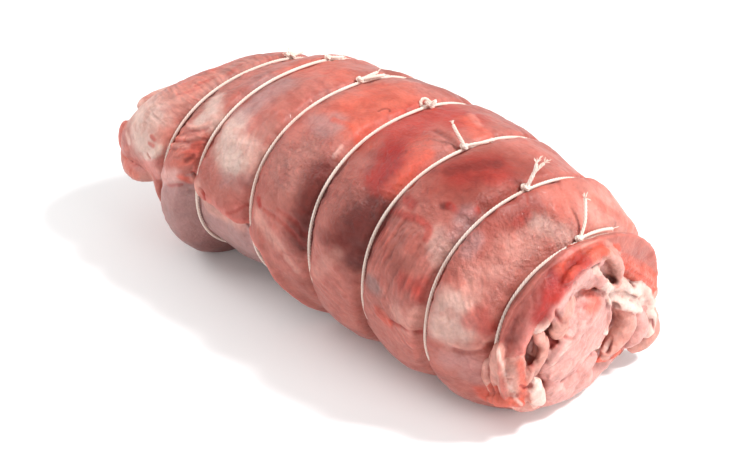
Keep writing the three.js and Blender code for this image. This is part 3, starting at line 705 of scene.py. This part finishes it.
def line_of(entries):
    """A mark's line in millimetres, smooth where it has more than two points."""
    line = [on_roll(e[0], math.radians(e[1])) if len(e) == 2 else np.array(e, float) for e in entries]
    return smooth_line(line, 3 * len(line)) if len(line) > 2 else np.array(line)


def nearness(at, line, reach):
    """1 on a line, falling to 0 at its reach."""
    near = np.zeros(len(at))
    close = np.flatnonzero(((at > line.min(0) - reach) & (at < line.max(0) + reach)).all(1))
    best = np.full(len(close), np.inf)
    for a, b in zip(line[:-1], line[1:]):
        ab = b - a
        share = np.clip((at[close] - a) @ ab / (ab @ ab), 0, 1)
        best = np.minimum(best, np.linalg.norm(at[close] - a - share[:, None] * ab, axis=1))
    near[close] = np.clip(1 - best / reach, 0, 1)
    return near


def zone(at, entries):
    """How strongly points lie in any of several zones."""
    found = np.zeros(len(at))
    for strength, reach, line in entries:
        found = np.maximum(found, strength * blend(nearness(at, line_of(line), reach), 0, 0.6))
    return found


def smoothed(mesh, values, times):
    """Values at the vertices, each averaged with its neighbours'."""
    edges = np.empty(len(mesh.edges) * 2, np.int32)
    mesh.edges.foreach_get("vertices", edges)
    a, b = edges.reshape(-1, 2).T
    count = np.bincount(edges, minlength=len(values))[:, None]
    for _ in range(times):
        total = np.stack([np.bincount(a, v[b], len(v)) + np.bincount(b, v[a], len(v)) for v in values.T], 1)
        values = (values + total / count) / 2
    return values


def normals_of(mesh):
    flat = np.empty(len(mesh.vertices) * 3, np.float32)
    mesh.vertices.foreach_get("normal", flat)
    return flat.reshape(-1, 3).astype(float)


MEAN_RADIUS = 52
# On the cut face a mark's line is followed as seen from ahead, whatever the depth of the lobe it is on.
FACE_SQUEEZE = np.array([0.35, 1, 1])
# Marks that reach further than this are laid under the colours of the wrap's cut edge.
BROAD_REACH = 7
# Beside each string, in mm: painted shade ahead of it, on the flank that faces away from the light, wet
# meat behind it from place GLINT_FROM on, and pleats, spaced round the roll. A stain or a painted shade is
# the share that it leaves of red, green and blue.
FLANK_SHADE_AT, FLANK_SHADE_HALF, FLANK_SHADE_TINT = 3.6, 2.8, [0.7, 0.42, 0.4]
GLINT_AT, GLINT_HALF, GLINT_FROM = 4.5, 3, 3.5
PLEAT_SPACING, PLEAT_LENGTH, PLEAT_DEPTH, PLEAT_AT, PLEAT_HALF = 4.2, 16, 0.8, 3, 3.5
# The hem's rise in mm, and its place and half width in widths of the cut edge's step.
HEM_RISE, HEM_AT, HEM_HALF = 1.1, 0.3, 0.4
GRAIN_RELIEF, GRAIN_TONE = 0.45, 0.3
# Blotches and veins are stains; the hollows' tint is painted shade.
BLOTCH_STAIN, VEIN_STAIN, HOLLOW_SHADE = [0.8, 0.55, 0.52], [0.72, 0.55, 0.58], [0.62, 0.36, 0.34]


def dress(piece, folds, marks):
    """Paints tissues, painted shade and painted highlights onto a piece of meat, and presses in its creases,
    pleats and grain.
    """
    mesh = piece.data
    points, normals = coordinates(mesh), normals_of(mesh)
    place, angle, along, share = place_and_angle(points)
    girth = angle * MEAN_RADIUS
    squeeze = FACE_SQUEEZE if piece is face else np.ones(3)
    lengthwise, crosswise = (points[:, 1], points[:, 2]) if piece is face else (along, girth)
    wander = np.stack([ripple(points, 9, seed) for seed in (1, 2, 3)], 1) * 2.4
    wander += np.stack([ripple(points, 3, seed) for seed in (4, 5, 6)], 1) * 1.2
    colour = np.tile(COLOUR["pink"], (len(points), 1))
    relief = np.zeros(len(points))

    def coat(target, strength):
        colour[:] += (target - colour) * np.clip(strength, 0, 1)[:, None]

    middle = (along >= TIES[0, 0]) & (along <= TIES[FRONT, 0])
    past = past_seam(place, angle)
    inside = np.where(middle, inside_seam(place, angle), 0)
    nearest = np.zeros(len(points))
    fold_colour = colour.copy()
    fatty = np.zeros(len(points))
    for tissue, width, depth, line in folds:
        reach = nearness(points + wander * 0.25, smooth_line(line, 16), 2 * max(width, depth))
        fold_colour[reach > nearest] = COLOUR[tissue]
        fatty[reach > nearest] = tissue == "fat"
        nearest = np.maximum(nearest, reach)
    if piece is back:
        coat(fold_colour, 0.45 * blend(nearest, 0.05, 0.6))
    else:
        coat(fold_colour, 0.9 * blend(nearest, 0.28, 0.45))
    for tissue, strength, _, reach, entries in marks:
        if reach > BROAD_REACH:
            coat(COLOUR[tissue], strength * blend(nearness(points + wander, line_of(entries), reach), 0, 0.8))
    seam = middle & (place > 0.9) & (place < SEAM_END)
    coat(COLOUR["lilac"], 0.95 * blend(past, 0.1, 0.3) * (inside > 0) * middle)
    # painted shade: the core below the wrap's cut edge darkens towards the floor, from 30 mm up to 8 mm up
    coat(COLOUR["dusky"], 0.4 * inside * blend(-points[:, 2], -30, -8))
    coat(COLOUR["rose"], 0.7 * np.exp(-((past + 0.35) / 0.4) ** 2) * seam)
    for tissue, strength, rise, reach, entries in marks:
        line = line_of(entries) * squeeze
        if reach <= BROAD_REACH:
            near = nearness((points + wander * reach / 16) * squeeze, line, reach)
            coat(COLOUR[tissue], strength * blend(near, 0, 0.75))
        relief += rise * blend(nearness((points + wander * 0.15) * squeeze, line, reach), 0, 1)

    # the wrap's cut edge: a hem that stands over a sharp step
    relief += HEM_RISE * np.exp(-((past + HEM_AT) / HEM_HALF) ** 2) * seam
    back_share = blend(CORE_END - place, 0, CORE_FADE)
    relief -= SEAM_STEP * (1 - back_share) * (blend(past, 0, 0.3) * (inside > 0) - inside) * seam

    offsets = along[:, None] - TIES[:, 0]
    beside = np.take_along_axis(offsets, np.abs(offsets).argmin(1)[:, None], 1)[:, 0]
    away = np.abs(beside)
    degrees = np.degrees(angle) % 360
    viewer_side = blend(degrees, 75, 110) * blend(-degrees, -240, -205) * middle
    # painted shade: the flank just ahead of each string, on the near side, is darkened as if it faced away
    # from the light
    flank_shade = np.exp(-((beside - FLANK_SHADE_AT) / FLANK_SHADE_HALF) ** 2) * viewer_side * (1 - inside)
    coat(colour * FLANK_SHADE_TINT, 0.6 * flank_shade)
    pleat = ripple(np.stack([girth / PLEAT_SPACING, along / PLEAT_LENGTH, place * 0], 1), 1, 9)
    granule, wet = zone(points, GRANULES), zone(points, WET)
    lit_flank = np.exp(-((beside + GLINT_AT) / GLINT_HALF) ** 2) * blend(degrees, 80, 100)
    lit_flank = lit_flank * blend(-degrees, -165, -140) * middle
    wet = np.maximum(wet, 0.8 * lit_flank * (place > GLINT_FROM))
    free = blend(away, 0.5, 6) if piece in spans else 1
    relief += (0.6 * np.exp(-((away - 2.6) / 1.3) ** 2) - 1.5 * np.exp(-(away / 4.5) ** 2)) * middle
    gathered = np.exp(-((away - PLEAT_AT) / PLEAT_HALF) ** 2)
    relief += PLEAT_DEPTH * (pleat - 0.3 * np.abs(pleat)) * gathered * middle
    relief += (0.9 * ripple(points, 17, 12) + 0.4 * ripple(points, 7, 7)) * free
    relief += 0.14 * ripple(points, 3, 8) * (1 - inside)
    relief += 1.1 * ripple(points, 5, 22) * fatty
    relief += 0.5 * granule * blend(ripple(points, 2.3, 10), 0, 0.45)
    relief += 0.3 * wet * blend(ripple(points, 1.9, 23), 0, 0.4)
    tone = 1 + 0.16 * ripple(points, 13, 13) + 0.1 * ripple(points, 4, 14)
    for strength, spacing, direction, reach, entries in GRAINS:
        amount = strength * blend(nearness(points + wander, line_of(entries), reach), 0, 0.6)
        here = np.flatnonzero(amount > 0.01)
        if len(here):
            c, s = math.cos(math.radians(direction)), math.sin(math.radians(direction))
            bent = wander[here, 0] * 0.5
            u = lengthwise[here] * c + crosswise[here] * s
            v = crosswise[here] * c - lengthwise[here] * s + bent
            streak = ripple(np.stack([u / 9, v / spacing, bent * 0.2], 1), 1, 15)
            streak += 0.5 * ripple(np.stack([u / 5, v / spacing * 2.1, bent * 0.2], 1), 1, 16)
            relief[here] += GRAIN_RELIEF * amount[here] * streak
            tone[here] += GRAIN_TONE * amount[here] * streak
    colour *= tone[:, None]
    blotch = ripple(points, 7, 17) + 0.5 * ripple(points, 2.4, 18)
    coat(colour * BLOTCH_STAIN, 0.45 * blend(blotch, 0.05, 0.5) * (1 - inside * 0.7))
    vein = np.exp(-(ripple(points, 8, 19) / 0.045) ** 2) * blend(ripple(points, 16, 20), -0.05, 0.3)
    coat(colour * VEIN_STAIN, 0.45 * vein)

    if piece in spans:
        normals[:, 0] *= blend(away, 0.5, 3)
        relief *= blend(share, 0.9, 0.95)
    points += normals * relief[:, None]
    if piece is face:
        points += wander * 0.2 * blend(points[:, 0], 103, 108)[:, None]
    points[:, 2] = np.maximum(points[:, 2], 0)
    points = np.clip(points + MIDDLE, LIMIT_LOW, LIMIT_HIGH)
    move(mesh, points / 1000)

    # painted shade: hollows and creases are darkened; painted highlight: ridges are lightened
    hollow = ((smoothed(mesh, points, 20) - points) * normals_of(mesh)).sum(1)
    coat(colour * HOLLOW_SHADE, 0.75 * blend(hollow, 0.08, 0.6))
    coat(colour * 1.25, 0.5 * blend(-hollow, 0.08, 0.5))

    shade = mesh.attributes.new("tint", "FLOAT_COLOR", "POINT")
    opaque = np.column_stack([colour, np.ones(len(colour))]).astype(np.float32)
    shade.data.foreach_set("color", opaque.ravel())
    for name, values in (("granule", granule), ("wet", wet)):
        mesh.attributes.new(name, "FLOAT", "POINT").data.foreach_set("value", values.astype(np.float32))
    bpy.ops.object.select_all(action="DESELECT")
    piece.select_set(True)
    bpy.ops.object.shade_smooth()


# The dressed meat keeps inside the part's own box.
MARGIN = 0.1
LIMIT_LOW = np.array(cad_low) * 1000 + [MARGIN, MARGIN, 0]
LIMIT_HIGH = np.array(cad_high) * 1000 - MARGIN
for piece in spans:
    dress(piece, [], ROLL_MARKS)
dress(back, BACK_FOLDS, ROLL_MARKS)
dress(face, FACE_FOLDS, FACE_MARKS)


def node(tree, kind, inputs=(), **settings):
    """Adds a node with its settings, and links or fills its inputs."""
    made = tree.nodes.new(kind)
    for key, value in settings.items():
        setattr(made, key, value)
    for key, value in dict(inputs).items():
        if isinstance(value, bpy.types.NodeSocket):
            tree.links.new(value, made.inputs[key])
        else:
            made.inputs[key].default_value = value
    return made


def new_material(name):
    made = bpy.data.materials.new(name)
    made.use_nodes = True
    made.node_tree.nodes.clear()
    return made, made.node_tree


# Raw lamb under a film of its own juice: muscle that light enters, flecked at about a millimetre, and
# smoother where it is wet, so that it glints there.
raw_meat, tree = new_material("raw_lamb_wet")
tint_in = node(tree, "ShaderNodeAttribute", attribute_name="tint").outputs["Color"]
granule_in = node(tree, "ShaderNodeAttribute", attribute_name="granule").outputs["Fac"]
wet_in = node(tree, "ShaderNodeAttribute", attribute_name="wet").outputs["Fac"]
object_in = node(tree, "ShaderNodeTexCoord").outputs["Object"]
# Flecks of 1.4 mm and softer clouds of 5 mm: bumps per metre, detail, and the shades that they give.
heights = []
toned = tint_in
for scale, detail, darkest, lightest in ((700, 4, 0.9, 1.08), (210, 3, 0.93, 1.07)):
    bumps = node(tree, "ShaderNodeTexNoise", {
        "Vector": object_in, "Scale": scale, "Detail": detail, "Roughness": 0.6}).outputs[0]
    shades = node(tree, "ShaderNodeMapRange", {
        "Value": bumps, "From Min": 0.3, "From Max": 0.7, "To Min": darkest, "To Max": lightest}).outputs[0]
    toned = node(tree, "ShaderNodeVectorMath", {0: toned, 1: shades}, operation="MULTIPLY").outputs[0]
    heights.append(bumps)
flecks, clouds = heights
height = node(tree, "ShaderNodeMath", {0: flecks, 1: 0.4, 2: clouds}, operation="MULTIPLY_ADD").outputs[0]
beady = node(tree, "ShaderNodeMath", {0: granule_in, 1: wet_in}, operation="ADD").outputs[0]
beads = node(tree, "ShaderNodeMath", {0: beady, 1: flecks}, operation="MULTIPLY").outputs[0]
height = node(tree, "ShaderNodeMath", {0: beads, 1: 1.8, 2: height}, operation="MULTIPLY_ADD").outputs[0]
bump = node(tree, "ShaderNodeBump", {"Height": height, "Strength": 0.6, "Distance": 0.001})
dullness = node(tree, "ShaderNodeMath", {0: wet_in, 1: -0.3, 2: 0.46}, operation="MULTIPLY_ADD").outputs[0]
film = node(tree, "ShaderNodeMath", {0: wet_in, 1: 0.8, 2: 0.1}, operation="MULTIPLY_ADD").outputs[0]
skin_shader = node(tree, "ShaderNodeBsdfPrincipled", {
    "Base Color": toned, "Roughness": dullness, "IOR": 1.36, "Normal": bump.outputs[0],
    "Subsurface Weight": 0.25, "Subsurface Radius": (1, 0.35, 0.2), "Subsurface Scale": 0.002,
    "Coat Weight": film, "Coat Roughness": 0.05, "Coat IOR": 1.33, "Coat Normal": bump.outputs[0],
})
node(tree, "ShaderNodeOutputMaterial", {"Surface": skin_shader.outputs[0]})
for piece in (*spans, back, face):
    piece.data.materials.append(raw_meat)
    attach(piece, "root")
    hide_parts("rolled_shoulder")

# The twine. Seven loops of three-strand cotton butcher's twine, each drawn tight round the roll and
# knotted on top, with its cut ends left long.
STRAND_RADIUS = 0.4
STRAND_SIDES = 6
LAY = 5
RING_SUNK = 0.45
RING_STEPS = 1100
TAIL_STEPS = 60
KNOT_RISE = 1.1
KNOTS = [66, 71, 82, 77, 94, 92.5, 86]
KNOT_SIZES = [0.9, 0.4, 0.5, 1.3, 0.5, 0.55, 0.5]
# How many cut threads spread from the end of each tail, or None where the tail is one thin thread.
FRAYS = [[None, 9, 9], [3], [6, 3], [8], [12, 5], [12, 7], [14, 3]]
FRAY_LENGTH = 2.6
FRAY_START = 0.87
FRAY_RADIUS = 0.17
FRAY_SPREAD = 0.42
THREAD_RADIUS = 0.3
# The loose ends: steps along the roll, round it and out of it, counted from the knot.
TAILS = [
    [[[-0.2, 2, 2], [-0.6, 3, 4.5], [-1, -1.6, 10.4]], [[0, -2, 1.6], [0.5, -4, 2], [0.8, -6, 2.4]],
     [[0, 2, 1.6], [0, 3.5, 1.8], [0.3, 5.5, 2.2]]],
    [[[1.5, -2.5, 1.2], [2.4, -5.5, 1.2], [2.8, -9, 1]]],
    [[[0.5, -3, 1.6], [0.8, -7, 2.2], [1, -11, 2.6]], [[1.2, -5, 1.3], [2, -10, 1], [2.4, -15, 0.4]]],
    [[[2.2, -1, 2.4], [4.2, 0.5, 3.8], [6, 3, 3.2]]],
    [[[-1.5, 0.5, 3.5], [-4, 1.5, 7.5], [-6.5, 2, 11.3]], [[2, -3.5, 1.6], [4, -7, 2], [5.5, -10.5, 2.2]]],
    [[[0.5, -1.5, 3], [1, -3.7, 7.5], [1, -5.2, 13.4]],
     [[0.5, -1.5, 3.4], [1.2, -3.9, 7.8], [4, -9.4, 13.2]]],
    [[[-1.5, -3.5, 5], [-3, -5.4, 9.8], [-6, -7, 19.5]], [[0.8, -6, 2], [0.5, -14, 0.8], [0, -23, -2]]],
]


def knot_frame(tie, degrees):
    """Where a knot is, and the directions there: along the roll, round it and out of it."""
    angle = math.radians(degrees)
    at = ring_point(tie, angle, 0)
    round_it = ring_point(tie, angle + 0.02, 0) - at
    round_it /= np.linalg.norm(round_it)
    along = np.array([1, 0, 0]) - round_it * round_it[0]
    along /= np.linalg.norm(along)
    return at, np.array([along, round_it, np.cross(round_it, along)])


def twisted(name, line, sides):
    """Three strands laid round each other along a line given at even steps."""
    length = np.concatenate([[0], np.cumsum(np.linalg.norm(np.diff(line, axis=0), axis=1))])
    _, first, second = across_line(line)
    made = []
    for k in range(3):
        turn = 2 * math.pi * (length / LAY + k / 3)
        path = line + STRAND_RADIUS * (first * np.cos(turn)[:, None] + second * np.sin(turn)[:, None])
        width = np.full(len(line), STRAND_RADIUS)
        width[[0, -1]] = 0
        made.append(strung(f"{name}_{k}", path, width, width, sides))
    return made


def frayed(name, line, count):
    """Loose threads that spread from the end of a line."""
    ahead = line[-1] - line[-4]
    ahead /= np.linalg.norm(ahead)
    made = []
    for k in range(count):
        aside = chance.normal(0, FRAY_SPREAD, 3)
        steps = np.linspace(0, 1, 7)[:, None] * FRAY_LENGTH * chance.uniform(0.6, 1.1)
        path = line[-1] - ahead * 0.4 + ahead * steps + aside * steps ** 1.5 / FRAY_LENGTH ** 0.5
        width = np.full(7, FRAY_RADIUS)
        width[[0, -1]] = 0
        made.append(strung(f"{name}_{k}", path, width, width, 4))
    return made


chance = np.random.default_rng(11)
# Undyed cotton, matt, with a little light entering its threads, stained pink in places by the juice.
twine_material, tree = new_material("cotton_twine")
object_in = node(tree, "ShaderNodeTexCoord").outputs["Object"]
stain = node(tree, "ShaderNodeTexNoise", {"Vector": object_in, "Scale": 120, "Detail": 3})
cotton = node(tree, "ShaderNodeMix", {
    "Factor": stain.outputs[0], "A": (*tint("#F7ECE2"), 1), "B": (*tint("#E5C3B4"), 1)}, data_type="RGBA")
cotton_shader = node(tree, "ShaderNodeBsdfPrincipled", {
    "Base Color": cotton.outputs["Result"], "Roughness": 0.8, "Subsurface Weight": 0.2,
    "Subsurface Radius": (1, 0.8, 0.7), "Subsurface Scale": 0.0006})
node(tree, "ShaderNodeOutputMaterial", {"Surface": cotton_shader.outputs[0]})

for i, (tie, at_degrees, size, tails, frays) in enumerate(zip(TIES, KNOTS, KNOT_SIZES, TAILS, FRAYS)):
    angles = np.radians(at_degrees) + np.linspace(0, 2 * math.pi, RING_STEPS)
    parts = twisted("ring", ring_point(tie, angles, -RING_SUNK), STRAND_SIDES)
    origin, axes = knot_frame(tie, at_degrees)
    t = np.linspace(0, 2 * math.pi, TAIL_STEPS)
    x, y, z = np.sin(t) + 2 * np.sin(2 * t), 0.9 * (np.cos(t) - 2 * np.cos(2 * t)), -np.sin(3 * t)
    trefoil = np.stack([x, y, z], 1) * size
    parts += twisted("knot", origin + (trefoil + [0, 0, KNOT_RISE]) @ axes, STRAND_SIDES)
    for steps, count in zip(tails, frays):
        line = origin + smooth_line([[0, 0, KNOT_RISE]] + steps, TAIL_STEPS) @ axes
        if count is None:
            width = np.where((np.arange(TAIL_STEPS) % (TAIL_STEPS - 1)) == 0, 0, THREAD_RADIUS)
            parts.append(strung("thread", line, width, width, 5))
            continue
        line = line[:round(TAIL_STEPS * FRAY_START)]
        parts += twisted("tail", line, STRAND_SIDES)
        parts += frayed("fray", line, count)
    piece = join(parts)
    piece.name = f"twine_tie_{i + 1}"
    inside_box = np.clip(coordinates(piece.data) + MIDDLE, LIMIT_LOW, LIMIT_HIGH)
    move(piece.data, inside_box / 1000)
    bpy.ops.object.shade_smooth()
    piece.data.materials.append(twine_material)
    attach(piece, "root")
    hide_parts(f"tie_{i + 1}")

# The stage. A plain pale floor and a white surround, with a small key light high on the right for the
# glints of the wet places, a softer light ahead of the cut end, and a broad soft fill from the left.
bpy.ops.object.select_all(action="DESELECT")
bpy.ops.mesh.primitive_plane_add(size=6)
floor = bpy.context.active_object
floor.name = "floor"
floor_material, tree = new_material("pale_floor")
floor_shader = node(tree, "ShaderNodeBsdfPrincipled", {
    "Base Color": (*tint("#F4F4F4"), 1), "Roughness": 0.9,
    "Emission Color": (1, 1, 1, 1), "Emission Strength": 0.05})
node(tree, "ShaderNodeOutputMaterial", {"Surface": floor_shader.outputs[0]})
floor.data.materials.append(floor_material)

scene = bpy.context.scene
scene.view_settings.view_transform = "Standard"
world = bpy.data.worlds.new("studio")
scene.world = world
world.use_nodes = True
background = world.node_tree.nodes["Background"]
background.inputs["Color"].default_value = (1, 1, 1, 1)
background.inputs["Strength"].default_value = 0.65


def area_light(name, at, target, size, power):
    bpy.ops.object.light_add(type="AREA", location=at)
    light = bpy.context.active_object
    light.name = name
    light.data.size = size
    light.data.energy = power
    light.rotation_euler = (Vector(target) - Vector(at)).to_track_quat("-Z", "Y").to_euler()


area_light("key", (0.62, 0.48, 1.05), (0, 0, 0.05), 0.2, 15)
area_light("front", (1.1, 0.05, 0.5), (0.12, 0, 0.05), 0.5, 4.5)
area_light("fill", (-0.9, -0.5, 0.8), (-0.08, 0, 0.05), 0.7, 7)

# The camera stands at the photograph's viewing angle, given in the roll's own millimetres.
CAMERA_AT = np.array([485.4, -453, 446.1])
CAMERA_TARGET = np.array([6.6, -24.2, 50])
bpy.ops.object.camera_add(location=(CAMERA_AT + MIDDLE) / 1000)
camera = bpy.context.active_object
aim = Vector(CAMERA_TARGET - CAMERA_AT)
camera.rotation_euler = aim.to_track_quat("-Z", "Y").to_euler()
camera.data.sensor_width = 36
camera.data.lens = 80
scene.camera = camera
